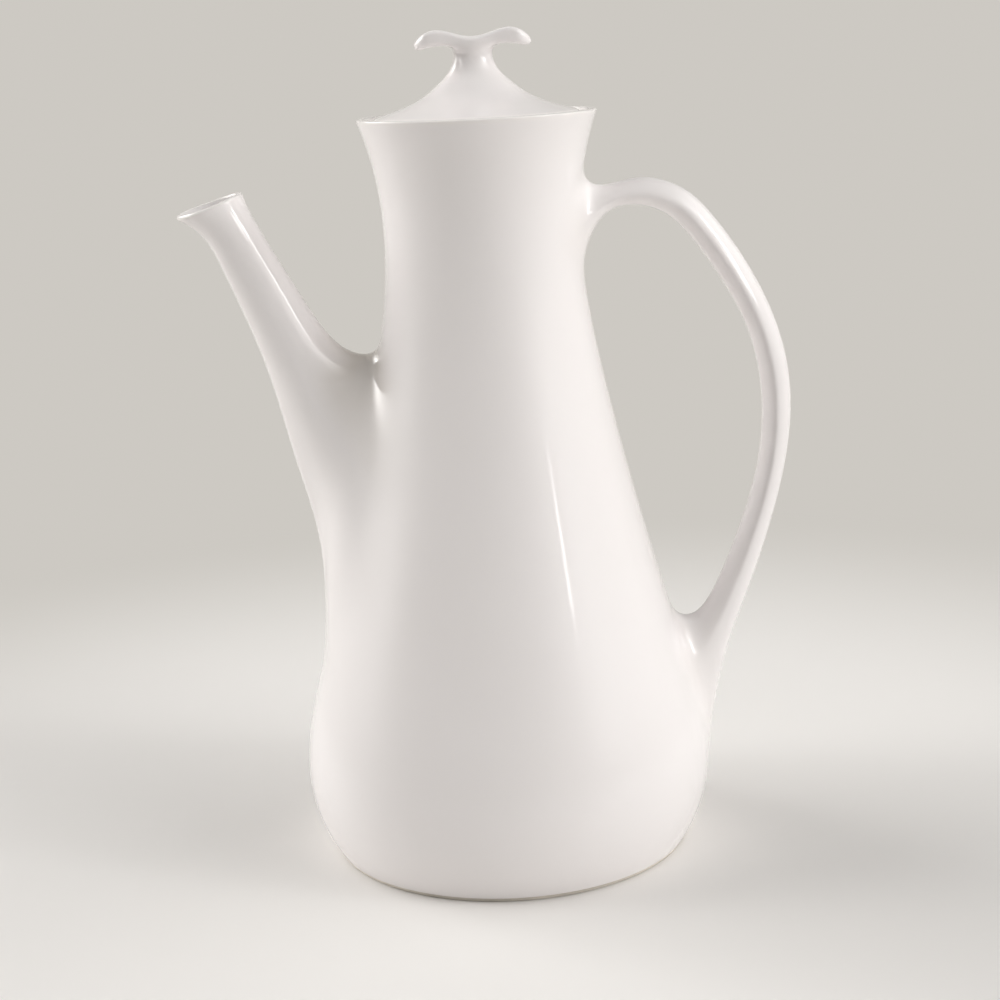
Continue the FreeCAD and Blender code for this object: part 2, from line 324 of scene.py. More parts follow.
class Track:
    """A smooth line through rows of numbers, one row at each station along it."""

    def __init__(self, stations, rows):
        self.stations = np.asarray(stations, float)
        self.rows = np.asarray(rows, float)
        steps = np.diff(self.stations)
        chords = np.diff(self.rows, axis=0) / steps[:, None]
        count = len(self.stations)
        system = np.identity(count)
        target = np.zeros_like(self.rows)
        target[0] = end_slope(self.stations[:4], self.rows[:4])
        target[-1] = end_slope(self.stations[:-5:-1], self.rows[:-5:-1])
        for place in range(1, count - 1):
            before, after = steps[place - 1], steps[place]
            system[place, place - 1:place + 2] = after, 2 * (before + after), before
            target[place] = 3 * (after * chords[place - 1] + before * chords[place])
        self.slopes = np.linalg.solve(system, target)

    def span(self, where):
        """The span that holds each place: its two rows, its two slopes, its length and the place's share."""
        where = np.asarray(where, float)
        first = np.clip(np.searchsorted(self.stations, where, side="right") - 1, 0, len(self.stations) - 2)
        size = (self.stations[first + 1] - self.stations[first])[..., None]
        share = (where - self.stations[first])[..., None] / size
        leave, arrive = self.slopes[first] * size, self.slopes[first + 1] * size
        return self.rows[first], self.rows[first + 1], leave, arrive, size, share

    def at(self, where):
        start, end, leave, arrive, _, share = self.span(where)
        rest = 1 - share
        return (rest * rest * (1 + 2 * share) * start + share * share * (3 - 2 * share) * end
                + share * rest * (rest * leave - share * arrive))

    def spread(self, steps):
        """Points spread evenly along the line."""
        return self.at(np.linspace(self.stations[0], self.stations[-1], steps))

    def slope(self, where):
        start, end, leave, arrive, size, share = self.span(where)
        rest = 1 - share
        return (6 * share * rest * (end - start) + rest * (1 - 3 * share) * leave
                + share * (3 * share - 2) * arrive) / size


def smooth_track(points):
    """The track through points, with the distances between them as its stations."""
    points = np.asarray(points, float)
    return Track(run_up(np.linalg.norm(np.diff(points, axis=0), axis=1)), points)


def corner(before, apex, after, radius, steps=8):
    """Points that round the corner at an apex, over a radius along both its sides."""
    before, apex, after = (np.asarray(point, float) for point in (before, apex, after))
    start = apex + (before - apex) * (radius / np.linalg.norm(before - apex))
    end = apex + (after - apex) * (radius / np.linalg.norm(after - apex))
    share = np.linspace(0.0, 1.0, steps)[:, None]
    return (1 - share) ** 2 * start + 2 * share * (1 - share) * apex + share ** 2 * end


def bent(start, leave, arrive, end, steps=10):
    """Points along the curve from start to end that leaves and arrives along two given pulls."""
    start, leave, arrive, end = (np.asarray(point, float) for point in (start, leave, arrive, end))
    share = np.linspace(0.0, 1.0, steps)[:, None]
    rest = 1 - share
    return (rest ** 3 * start + 3 * rest ** 2 * share * (start + leave)
            + 3 * rest * share ** 2 * (end - arrive) + share ** 3 * end)


class TurnedSide:
    """The outside of a turned piece, as a radius for each height."""

    def __init__(self, track, samples):
        self.track = track
        places = np.linspace(0.0, track.stations[-1], samples)
        self.radii, self.heights = track.at(places).T
        run, rise = track.slope(places).T
        self.leans = run / rise

    def radius(self, height):
        return np.interp(height, self.heights, self.radii)

    def distance(self, points, sink=0.0):
        """How far points stand off the outside, drawn in by a sink. Inside the piece it is below nothing."""
        radius = self.radius(points[..., 2]) - sink
        lean = np.interp(points[..., 2], self.heights, self.leans)
        return (np.hypot(points[..., 0], points[..., 1]) - radius) / np.sqrt(1 + lean * lean)

    def inset(self, height, depth):
        """The point of the outline that lies a depth inside the wall, square to it."""
        lean = float(np.interp(height, self.heights, self.leans))
        size = math.hypot(1.0, lean)
        return float(self.radius(height)) - depth / size, height + depth * lean / size


def body_side(sizes):
    """The outside of the body, from its heel up to its rim."""
    track = smooth_track([
        (sizes.heel_radius, FOOT_TOP),
        (sizes.belly_radius, sizes.belly_height),
        (sizes.flank_radius, sizes.flank_height),
        (sizes.waist_radius, sizes.waist_height),
        (sizes.shoulder_radius, sizes.shoulder_height),
        (sizes.neck_radius, sizes.neck_height),
        (sizes.rim_radius, RIM_TOP - sizes.rim_round),
    ])
    return TurnedSide(track, BODY_SAMPLES)


class Skin:
    """A tube drawn smoothly over flat rings. A section gives the place round each ring, as shares along the
    line from the ring's inner to its outer point and across it, and how both change with the angle."""

    def __init__(self, rings, section, side):
        rows = []
        for inner, inner_drop, outer, outer_drop, half, *keel in rings:
            rows.append((side * inner, RIM_TOP / MM - inner_drop, side * outer, RIM_TOP / MM - outer_drop,
                         half, sum(keel)))
        rows = np.array(rows) * MM
        self.section = section
        along, across = section(all_round(RING_SAMPLES))[:2]
        places = self.place(rows[:, None, :], along, across, across * np.maximum(1 - 2 * along, 0.0) ** 2)
        steps = np.linalg.norm(np.diff(places, axis=0), axis=2).mean(axis=1)
        self.track = Track(run_up(steps), rows)
        self.end = self.track.stations[-1]

    @staticmethod
    def place(row, along, across, keel):
        x = row[..., 0] + (row[..., 2] - row[..., 0]) * along
        y = row[..., 4] * across - row[..., 5] * keel
        z = row[..., 1] + (row[..., 3] - row[..., 1]) * along
        return np.stack(np.broadcast_arrays(x, y, z), axis=-1)

    def points(self, station, angle, push=0.0):
        """Points of the skin, pushed out square to it."""
        row = self.track.at(station)
        along, across, along_turn, across_turn = self.section(angle)
        below = np.maximum(1 - 2 * along, 0.0)
        keel = across * below ** 2
        keel_turn = across_turn * below ** 2 - 4 * across * below * along_turn
        centre = self.place(row, 0.5, 0.0, 0.0)
        point = self.place(row, along, across, keel)
        forward = self.place(self.track.slope(station), along, across, keel)
        turning = self.place(row, along_turn, across_turn, keel_turn) - self.place(row, 0.0, 0.0, 0.0)
        square = unit(np.cross(forward, turning))
        facing = np.sign(np.sum(square * (point - centre), axis=-1, keepdims=True))
        square = square * np.where(facing == 0, 1, facing)
        return point + np.asarray(push)[..., None] * square

    def meet(self, body, angle, push, distance, first, last):
        """The station where each line along the pushed skin first comes down to a distance off the body."""
        tries = np.linspace(first, last, TRIES)
        found = body.distance(self.points(tries[:, None], angle[None, :], push)) < distance
        if not found.any(axis=0).all():
            raise RuntimeError("A line along the skin does not reach the body")
        place = np.maximum(np.argmax(found, axis=0), 1)
        outside, inside = tries[place - 1], tries[place]
        for _ in range(HALVINGS):
            middle = (outside + inside) / 2
            reached = body.distance(self.points(middle, angle, push)) < distance
            inside = np.where(reached, middle, inside)
            outside = np.where(reached, outside, middle)
        return inside

    def joint(self, body, angle, softness, first, last):
        """Rows of points that carry the skin over onto the body in one soft sweep, and how deep in the joint
        each row lies. The sweep is the smooth union of the skin and the body."""
        rows = []
        depths = []
        for share in np.linspace(1.0, -1.0, JOINT_ROWS):
            lift = softness / 6 * (1 - abs(share)) ** 3
            off_skin = lift + softness * max(-share, 0.0)
            off_body = lift + softness * max(share, 0.0)
            station = self.meet(body, angle, off_skin, off_body, first, last)
            rows.append(self.points(station, angle, off_skin))
            depths.append(1 - abs(share))
        station = self.meet(body, angle, softness + JOINT_TAIL, -JOINT_SINK, first, last)
        rows.append(self.points(station, angle, softness + JOINT_TAIL))
        depths.append(0.0)
        return rows, depths


def oval(angle):
    """The spout's round section. Angle 0 is the upper side."""
    turn_along = np.cos(angle)
    turn_across = np.sin(angle)
    return 0.5 + 0.5 * turn_along, turn_across, -0.5 * turn_across, turn_along


def strap(ridge, sharpness, softness):
    """The handle's section: two soft edges and a ridge along each face. Angle 0 is the outer edge."""
    power = sharpness / 2
    full = (1 + softness ** 2) ** power

    def section(angle):
        along, across = np.cos(angle), np.sin(angle)
        reach = np.where(along > 0, 1 - ridge, ridge)
        round_over = along * along + softness ** 2
        drawn = along * round_over ** power / full
        drawn_turn = -across * round_over ** (power - 1) * (round_over + 2 * power * along * along) / full
        return ridge + drawn * reach, across, drawn_turn * reach, along

    return section


class NodeKit:
    """Adds nodes to a tree. A socket takes a plain value, or another node's output to link from."""

    def __init__(self, tree):
        self.tree = tree

    def sockets(self, way, **kinds):
        """Gives a node group its inputs or its outputs, by name and kind."""
        for name, kind in kinds.items():
            self.tree.interface.new_socket(name, in_out=way, socket_type="NodeSocket" + kind)

    def set(self, node, values):
        for socket, value in values.items():
            if isinstance(value, bpy.types.NodeSocket):
                self.tree.links.new(value, node.inputs[socket])
            else:
                node.inputs[socket].default_value = value

    def add(self, kind, values=None, **settings):
        """A new node with its settings, and with values or links for its sockets."""
        node = self.tree.nodes.new(kind)
        for setting, value in settings.items():
            setattr(node, setting, value)
        self.set(node, values or {})
        return node

    def maths(self, operation, *values):
        return self.add("ShaderNodeMath", dict(enumerate(values)), operation=operation).outputs[0]

    def noise(self, place, scale, detail, roughness=0.5):
        values = {"Vector": place, "Scale": scale, "Detail": detail, "Roughness": roughness}
        return self.add("ShaderNodeTexNoise", values).outputs["Fac"]

    def remap(self, value, low, high, bottom, top, **settings):
        values = {"Value": value, "From Min": low, "From Max": high, "To Min": bottom, "To Max": top}
        return self.add("ShaderNodeMapRange", values, **settings).outputs["Result"]

    def bump(self, height, strength, distance):
        values = {"Height": height, "Strength": strength, "Distance": distance}
        return self.add("ShaderNodeBump", values).outputs["Normal"]

    def mixed(self, share, first, second):
        """Two shaders mixed by a share."""
        return self.add("ShaderNodeMixShader", {0: share, 1: first, 2: second}).outputs["Shader"]


def wheel_tree():
    """The node tree that turns an outline about the pot's axis."""
    kit = NodeKit(bpy.data.node_groups.new("Turned on the wheel", "GeometryNodeTree"))
    kit.sockets("INPUT", Outline="Geometry", Segments="Int", Finish="Material")
    kit.sockets("OUTPUT", Piece="Geometry")
    given = kit.add("NodeGroupInput").outputs
    outline = kit.add("GeometryNodeAttributeDomainSize", {0: given["Outline"]}, component="MESH").outputs
    columns = kit.maths("ADD", given["Segments"], 1.0)
    sheet = kit.add("GeometryNodeMeshGrid", {"Size X": 1.0, "Size Y": 1.0, "Vertices Y": columns,
                                             "Vertices X": outline["Point Count"]}).outputs["Mesh"]
    number = kit.add("GeometryNodeInputIndex").outputs[0]
    row = kit.maths("FLOOR", kit.maths("DIVIDE", number, columns))
    share = kit.maths("DIVIDE", kit.maths("MODULO", number, columns), given["Segments"])
    angle = kit.maths("MULTIPLY", share, 2 * math.pi)
    place = kit.add("GeometryNodeInputPosition").outputs[0]
    point = kit.add("GeometryNodeSampleIndex", {"Geometry": given["Outline"], "Value": place, "Index": row},
                    data_type="FLOAT_VECTOR", domain="POINT", clamp=True).outputs[0]
    radius_and_height = kit.add("ShaderNodeSeparateXYZ", {0: point}).outputs
    x = kit.maths("MULTIPLY", radius_and_height["X"], kit.maths("COSINE", angle))
    y = kit.maths("MULTIPLY", radius_and_height["X"], kit.maths("SINE", angle))
    turned_place = kit.add("ShaderNodeCombineXYZ", {"X": x, "Y": y, "Z": radius_and_height["Z"]}).outputs[0]
    turned = kit.add("GeometryNodeSetPosition", {"Geometry": sheet, "Position": turned_place}).outputs[0]
    closed = kit.add("GeometryNodeMergeByDistance", {0: turned, "Distance": CLOSE}).outputs[0]
    smooth = kit.add("GeometryNodeSetShadeSmooth", {0: closed}).outputs[0]
    real = kit.add("GeometryNodeRealizeInstances", {0: smooth}).outputs[0]
    piece = kit.add("GeometryNodeSetMaterial", {"Geometry": real, "Material": given["Finish"]}).outputs[0]
    kit.add("NodeGroupOutput", {"Piece": piece})
    return kit.tree


def plain_mesh(obj):
    """The object's mesh with its modifiers applied, and the object taken away."""
    evaluated = obj.evaluated_get(bpy.context.evaluated_depsgraph_get())
    mesh = bpy.data.meshes.new_from_object(evaluated)
    bpy.data.objects.remove(obj)
    return mesh


def new_object(name, data):
    obj = bpy.data.objects.new(name, data)
    bpy.context.scene.collection.objects.link(obj)
    return obj


def turned_mesh(name, outline, segments, material):
    """Turns a closed outline, given as radii and heights, into a mesh."""
    tree = bpy.data.node_groups.get("Turned on the wheel") or wheel_tree()
    points = [(radius, 0.0, height) for radius, height in outline]
    mesh = bpy.data.meshes.new(name + "_outline")
    mesh.from_pydata(points, [(place, place + 1) for place in range(len(points) - 1)], [])
    obj = new_object(name + "_outline", mesh)
    wheel = obj.modifiers.new("Wheel", "NODES")
    wheel.node_group = tree
    names = {item.name: item.identifier for item in tree.interface.items_tree if item.in_out == "INPUT"}
    wheel[names["Segments"]] = segments
    wheel[names["Finish"]] = material
    return plain_mesh(obj)


def grid_mesh(name, rows, caps=None):
    """A mesh over rings of points, joined in order. With caps, two points close its ends, and without them
    the last ring joins the first."""
    rows = np.asarray(rows)
    count, around = rows.shape[:2]
    points = rows.reshape(-1, 3).tolist()
    faces = []
    for row in range(count if caps is None else count - 1):
        below, above = row * around, (row + 1) % count * around
        for column in range(around):
            beside = (column + 1) % around
            faces.append((below + column, below + beside, above + beside, above + column))
    if caps is not None:
        points += [list(cap) for cap in caps]
        last = (count - 1) * around
        for column in range(around):
            beside = (column + 1) % around
            faces.append((column, count * around, beside))
            faces.append((last + column, last + beside, count * around + 1))
    mesh = bpy.data.meshes.new(name)
    mesh.from_pydata(points, [], faces)
    return mesh


def mesh_points(mesh):
    return np.array([point.co[:] for point in mesh.vertices])


def mark(mesh, name, values):
    """Keeps one number for each point of a mesh, for its material."""
    layer = mesh.attributes.new(name, "FLOAT", "POINT")
    layer.data.foreach_set("value", np.asarray(values, np.float32))


def set_smooth(mesh, sharp_angle):
    """Turns the faces outwards and shades them smooth up to an angle between neighbours."""
    work = bmesh.new()
    work.from_mesh(mesh)
    bmesh.ops.recalc_face_normals(work, faces=work.faces)
    for face in work.faces:
        face.smooth = True
    for edge in work.edges:
        edge.smooth = edge.is_manifold and edge.calc_face_angle(0.0) < sharp_angle
    work.to_mesh(mesh)
    work.free()


def set_down(name, mesh, node, body, material, sharp_angle=SHARP_ANGLE):
    """Makes a mesh the finished piece that stands for a node."""
    set_smooth(mesh, sharp_angle)
    mesh.materials.clear()
    mesh.materials.append(material)
    obj = new_object(name, mesh)
    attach(obj, body)
    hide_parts(node)


def glaze_group():
    """The node group of a fired glaze: its colour, darkened with painted shade where the joint mask asks,
    its roughness and the height of its faint ripple.
    """
    kit = NodeKit(bpy.data.node_groups.new("Fired glaze", "ShaderNodeTree"))
    kit.sockets("INPUT", Place="Vector", Glaze="Color", Pooled="Color", Thin="Color", Pool="Float",
                Edge="Float", Roughness="Float")
    kit.sockets("OUTPUT", Color="Color", Roughness="Float", Height="Float")
    given = kit.add("NodeGroupInput").outputs
    place = given["Place"]

    def mix(share, under, over):
        return kit.add("ShaderNodeMix", {0: share, 6: under, 7: over}, data_type="RGBA").outputs[2]

    cloud_share = kit.remap(kit.noise(place, 22.0, 3.0, 0.55), 0.35, 0.70, 0.0, 0.03)
    pool_and_shade_cover = kit.remap(kit.noise(place, 60.0, 2.0), 0.3, 0.7, 0.35, 0.75)
    # Random strength of the painted shade in the joints
    edge_cover = kit.remap(kit.noise(place, 90.0, 2.0), 0.3, 0.7, 0.4, 0.9)
    tone = mix(cloud_share, given["Glaze"], given["Pooled"])
    # Painted shade: the joint mask darkens the glaze towards the dark gathered-glaze colour in the crotch
    # and the joints
    tone = mix(kit.maths("MULTIPLY", given["Pool"], pool_and_shade_cover), tone, given["Pooled"])
    tone = mix(kit.maths("MULTIPLY", given["Edge"], edge_cover), tone, given["Thin"])
    smear = kit.remap(kit.noise(place, 34.0, 4.0, 0.6), 0.35, 0.75, -0.012, 0.030)
    peel = kit.maths("MULTIPLY", kit.noise(place, 420.0, 2.0), 0.05)
    kit.add("NodeGroupOutput", {
        "Color": tone,
        "Roughness": kit.maths("ADD", given["Roughness"], smear),
        "Height": kit.maths("ADD", kit.noise(place, 38.0, 1.0, 0.4), peel),
    })
    return kit.tree


def new_material(name):
    """A new material with its node kit, its shader and the place on the piece that wears it."""
    material = bpy.data.materials.new(name)
    material.use_nodes = True
    kit = NodeKit(material.node_tree)
    place = kit.add("ShaderNodeTexCoord").outputs["Object"]
    return material, kit, kit.tree.nodes["Principled BSDF"], place


def glaze_material():
    """White glossy glaze over porcelain, made once for all the glazed pieces."""
    known = bpy.data.materials.get("White glaze")
    if known:
        return known
    look = bpy.context.scene.coffee_pot_glaze
    material, kit, shader, place = new_material("White glaze")
    glaze = kit.add("ShaderNodeGroup", {
        "Place": place,
        "Glaze": (*look.white, 1.0),
        "Pooled": (*look.pooled_and_shade, 1.0),
        "Thin": (*look.thin, 1.0),
        # Joint mask: painted shade in the spout's crotch, and a faint darkening of the handle's joints that
        # is partly gathered glaze and partly painted shade
        "Pool": kit.add("ShaderNodeAttribute", attribute_name="pool_and_shade").outputs["Fac"],
        "Edge": kit.add("ShaderNodeAttribute", attribute_name="edge").outputs["Fac"],
        "Roughness": look.gloss,
    }, node_tree=glaze_group()).outputs
    kit.set(shader, {
        "Base Color": glaze["Color"],
        "Roughness": glaze["Roughness"],
        "Normal": kit.bump(glaze["Height"], 0.05, 0.6 * MM),
        "IOR": 1.52,
    })
    return material


def bare_material():
    """Dry unglazed porcelain, ground on its resting face; its darkened colour partly paints the shade of the
    gap under the heel.
    """
    look = bpy.context.scene.coffee_pot_glaze
    material, kit, shader, place = new_material("Bare porcelain")
    grain = kit.noise(place, 900.0, 4.0)
    tone = kit.add("ShaderNodeValToRGB", {"Fac": kit.noise(place, 70.0, 3.0)})
    stained = [0.86 * part for part in look.bare_and_gap_shade]
    for stop, position, colour in zip(tone.color_ramp.elements, (0.35, 0.65), (stained, look.bare_and_gap_shade)):
        stop.position = position
        stop.color = (*colour, 1.0)
    kit.set(shader, {
        "Base Color": tone.outputs["Color"],
        "Roughness": kit.remap(grain, 0.0, 1.0, 0.70, 0.92),
        "Normal": kit.bump(grain, 0.35, 0.2 * MM),
    })
    return material


def body_outline(sizes, side):
    """The closed outline of the body's wall, from the middle of its underside to the middle of its floor."""
    skirt_gap, hidden_gap = 0.1 * MM, 0.02 * MM
    lip_width, lip_drop, lip_pull = 0.9 * MM, 1.0 * MM, 0.5 * MM
    seat_gap, seat_round, throat_round = 1.0 * MM, 0.5 * MM, 0.7 * MM
    under_hub, floor_hub, floor_bend = 8.0 * MM, 6.0 * MM, 12.0 * MM
    track = side.track
    outside = track.spread(160)
    rise = np.linspace(sizes.glaze_line, FOOT_TOP, 7)[:-1]
    skirt_radius = sizes.heel_radius - (FOOT_TOP - rise) * side.leans[0]
    skirt = np.stack([np.maximum(skirt_radius, FOOT_RADIUS + skirt_gap), rise], axis=1)
    hidden = FOOT_RADIUS + hidden_gap
    flare = unit(track.slope(track.stations[-1]))
    rim_pull = 0.55 * sizes.rim_round
    rim_inside = sizes.rim_radius - sizes.rim_wall
    lip_outside = (sizes.rim_radius, RIM_TOP - sizes.rim_round)
    lip_top = (sizes.rim_radius - sizes.rim_round, RIM_TOP)
    lip_fall = (rim_inside + lip_width, RIM_TOP)
    lip_inside = (rim_inside, RIM_TOP - lip_drop)
    seat_wall = (LID_RADIUS + seat_gap, LID_SEAT)
    seat_edge = (sizes.throat_radius, LID_SEAT)
    throat = (sizes.throat_radius, sizes.neck_height)
    floor_height = FOOT_TOP + sizes.floor
    floor_radius = sizes.belly_radius - sizes.wall - floor_bend
    inner = [throat]
    for height in ((sizes.shoulder_height + sizes.neck_height) / 2, sizes.shoulder_height,
                   sizes.waist_height, sizes.flank_height, sizes.belly_height):
        inner.append(side.inset(height, sizes.wall))
    half_turned = math.sqrt(0.5)
    inner.append((floor_radius + floor_bend * half_turned, floor_height + floor_bend * (1 - half_turned)))
    inner.append((floor_radius, floor_height))
    return np.concatenate([
        [(0.0, FOOT_TOP)],
        np.linspace((under_hub, FOOT_TOP), (hidden, FOOT_TOP), 8),
        [(hidden, sizes.glaze_line)],
        skirt,
        outside,
        bent(lip_outside, flare * rim_pull, (-rim_pull, 0.0), lip_top)[1:],
        bent(lip_fall, (-lip_pull, 0.0), (0.0, -lip_pull), lip_inside),
        corner(lip_inside, seat_wall, seat_edge, seat_round),
        corner(seat_wall, seat_edge, throat, throat_round),
        smooth_track(inner).spread(90),
        np.linspace((floor_radius * 0.9, floor_height), (floor_hub, floor_height), 8),
        [(0.0, floor_height)],
    ])


def hole_mesh(sizes):
    """The round way from the spout through the body's wall, as a solid to cut with."""
    around = all_round(48)
    steps = 40
    rows = []
    for under, under_drop, over, over_drop, half, _ in SPOUT_RINGS[HOLE_RINGS]:
        low = np.array((-under * MM, RIM_TOP - under_drop * MM))
        high = np.array((-over * MM, RIM_TOP - over_drop * MM))
        span = (high - low) / 2
        size = np.linalg.norm(span)
        span = span * (min(size - sizes.wall, sizes.hole) / size)
        across = min(half * MM - sizes.wall, sizes.hole)
        flat = (low + high) / 2 + np.cos(around)[:, None] * span
        rows.append(np.stack([flat[:, 0], across * np.sin(around), flat[:, 1]], axis=1))
    lengths = np.linalg.norm(np.diff(np.mean(rows, axis=1), axis=0), axis=1)
    track = Track(run_up(lengths), np.array(rows).reshape(len(rows), -1))
    fine = track.spread(steps).reshape(steps, len(around), 3)
    mesh = grid_mesh("spout_way", fine, caps=(fine[0].mean(axis=0), fine[-1].mean(axis=0)))
    set_smooth(mesh, SHARP_ANGLE)
    return mesh


class COFFEEPOT_OT_body(Operator):
    """Turns the body and pierces its wall behind the spout"""
    bl_idname = "coffeepot.body"
    bl_label = "Body"

    def execute(self, context):
        sizes = context.scene.coffee_pot_body
        glaze = glaze_material()
        outline = body_outline(sizes, body_side(sizes))
        shell = new_object("body_shell", turned_mesh("body", outline, sizes.segments, glaze))
        set_smooth(shell.data, SHARP_ANGLE)
        way = new_object("spout_way", hole_mesh(context.scene.coffee_pot_spout))
        pierce = shell.modifiers.new("Pierce", "BOOLEAN")
        pierce.operation = "DIFFERENCE"
        pierce.solver = "EXACT"
        pierce.object = way
        mesh = plain_mesh(shell)
        bpy.data.objects.remove(way)
        thin_band, thin_run = 1.2 * MM, 1.0 * MM
        mark(mesh, "edge", ramp(mesh_points(mesh)[:, 2], RIM_TOP - thin_band, thin_run))
        set_down("pot_body", mesh, "body", "pot", glaze)
        return {"FINISHED"}


class COFFEEPOT_OT_foot_ring(Operator):
    """Turns the dry ring that the pot stands on"""
    bl_idname = "coffeepot.foot_ring"
    bl_label = "Foot ring"

    def execute(self, context):
        sizes = context.scene.coffee_pot_body
        rounding = 0.9 * MM
        inner = FOOT_RADIUS - sizes.foot_width
        low_in, low_out = (inner, 0.0), (FOOT_RADIUS, 0.0)
        high_in, high_out = (inner, FOOT_TOP), (FOOT_RADIUS, FOOT_TOP)
        outline = np.concatenate([
            [high_in],
            corner(high_in, low_in, low_out, rounding),
            corner(low_in, low_out, high_out, rounding),
            [high_out, high_in],
        ])
        # The ring's darkened colour partly paints the shade under the heel
        bare_and_gap_shade = bare_material()
        mesh = turned_mesh("foot_ring", outline, sizes.segments, bare_and_gap_shade)
        set_down("pot_foot_ring", mesh, "foot_ring", "pot", bare_and_gap_shade)
        return {"FINISHED"}


class COFFEEPOT_OT_spout(Operator):
    """Draws the hollow spout and sweeps its root softly onto the body"""
    bl_idname = "coffeepot.spout"
    bl_label = "Spout"

    def execute(self, context):
        sizes = context.scene.coffee_pot_spout
        body = body_side(context.scene.coffee_pot_body)
        skin = Skin(SPOUT_RINGS, oval, -1.0)
        angle = all_round(sizes.around)
        upper = np.maximum(np.cos(angle), 0.0)
        under = np.maximum(-np.cos(angle), 0.0)
        held_back, flank_scale = 0.6, 2.6
        beside = np.sin(angle) ** 2 * (1 - held_back * upper ** 2)
        softness = (sizes.joint_top * upper ** 2 + sizes.joint_under * under ** 2
                    + (sizes.joint_side + sizes.joint_flank * flank_scale * under) * beside)
        start, look_back, thinned_run, root_depth = 0.9 * MM, 0.2 * MM, 18 * MM, 1.6 * MM
        outside_rows, gather, lip_rows, inside_rows = 72, 1.15, 11, 48
        joint, depths = skin.joint(body, angle, softness, start, skin.end)
        root = skin.meet(body, angle, 0.0, softness, start, skin.end)
        mouth = start - sizes.mouth_lean * np.sin(angle)
        outside = [skin.points(mouth + (root - mouth) * share, angle)
                   for share in np.linspace(0.0, 1.0, outside_rows)[:-1] ** gather]
        lip_outside = skin.points(mouth, angle)
        lip_inside = skin.points(mouth, angle, -sizes.lip)
        ahead = unit(lip_outside - skin.points(mouth + look_back, angle))
        lip = []
        for turned in np.linspace(0.0, math.pi, lip_rows)[1:-1]:
            middle = (lip_outside + lip_inside) / 2
            lip.append(middle + math.cos(turned) * (lip_outside - lip_inside) / 2
                       + math.sin(turned) * ahead * sizes.lip / 2)
        back = skin.meet(body, angle, -sizes.wall, -root_depth, start, skin.end)
        inside = []
        for share in np.linspace(0.0, 1.0, inside_rows):
            station = mouth + (back - mouth) * share
            wall = sizes.lip + (sizes.wall - sizes.lip) * ramp(station, mouth, thinned_run)
            inside.append(skin.points(station, angle, -wall))
        rows = joint[::-1] + outside[::-1] + lip + inside
        turn_over = len(depths) // 2
        # Painted shade: the spout's top side is darkened in the crotch joint and for a short reach along the
        # spout
        pool_and_shade = [upper * depth ** 2 for depth in depths[:turn_over:-1]] + [upper] * (turn_over + 1)
        for row in outside[::-1]:
            away = np.linalg.norm(row - joint[0], axis=1)
            pool_and_shade.append(upper * (1 - ramp(away, 0.0, sizes.pool_and_shade_reach)) ** 2)
        pool_and_shade += [np.zeros_like(angle)] * (len(lip) + len(inside))
        edge = [0.0] * (len(joint) + len(outside)) + [1.0] * len(lip) + [0.0] * len(inside)
        mesh = grid_mesh("pot_spout", rows)
        mark(mesh, "pool_and_shade", np.concatenate(pool_and_shade))
        mark(mesh, "edge", np.repeat(edge, sizes.around))
        set_down("pot_spout", mesh, "spout", "pot", glaze_material())
        return {"FINISHED"}


class COFFEEPOT_OT_handle(Operator):
    """Draws the strap handle and sweeps both its ends softly onto the body"""
    bl_idname = "coffeepot.handle"
    bl_label = "Handle"

    def execute(self, context):
        sizes = context.scene.coffee_pot_handle
        body = body_side(context.scene.coffee_pot_body)
        skin = Skin(HANDLE_RINGS, strap(sizes.ridge, sizes.sharpness, sizes.softness), 1.0)
        angle = all_round(sizes.around)
        middle = skin.end / 2
        outer = np.maximum(np.cos(angle), 0.0) ** 2
        inner = np.maximum(-np.cos(angle), 0.0) ** 2
        beside = sizes.joint_side * np.sin(angle) ** 2
        top_softness = sizes.joint_top * (inner + outer) + beside
        foot_softness = sizes.joint_foot * inner + sizes.joint_tail * outer + beside
        top, top_depths = skin.joint(body, angle, top_softness, middle, 0.0)
        foot, foot_depths = skin.joint(body, angle, foot_softness, middle, skin.end)
        first = skin.meet(body, angle, 0.0, top_softness, middle, 0.0)
        last = skin.meet(body, angle, 0.0, foot_softness, middle, skin.end)
        strip_rows, cap_depth, pool_and_shade_share = 150, 1.8 * MM, 0.15
        strip = [skin.points(first + (last - first) * share, angle)
                 for share in np.linspace(0.0, 1.0, strip_rows)[1:-1]]
        rows = top[::-1] + strip + foot
        caps = []
        for row in (rows[0], rows[-1]):
            height = row[:, 2].mean()
            caps.append((body.radius(height) - cap_depth, 0.0, height))
        mesh = grid_mesh("pot_handle", rows, caps)
        # A faint darkening of the handle's joints: partly gathered glaze, partly painted shade
        pool_and_shade = pool_and_shade_share * np.array(top_depths[::-1] + [0.0] * len(strip) + foot_depths)
        mark(mesh, "pool_and_shade", np.concatenate([np.repeat(pool_and_shade, sizes.around), [0.0, 0.0]]))
        set_down("pot_handle", mesh, "handle", "pot", glaze_material())
        return {"FINISHED"}


def bell_track(sizes):
    """The outside of the lid's bell and, in one run with it, of the knob's stem."""
    brim = (LID_RADIUS - sizes.brim_inset, LID_SEAT + sizes.brim_rise)
    bell = [(radius * MM, LID_SEAT + rise * MM) for radius, rise in BELL_POINTS]
    stem = [(radius * MM, KNOB_SEAT + rise * MM) for radius, rise in STEM_POINTS]
    return smooth_track([brim, *bell, *stem])


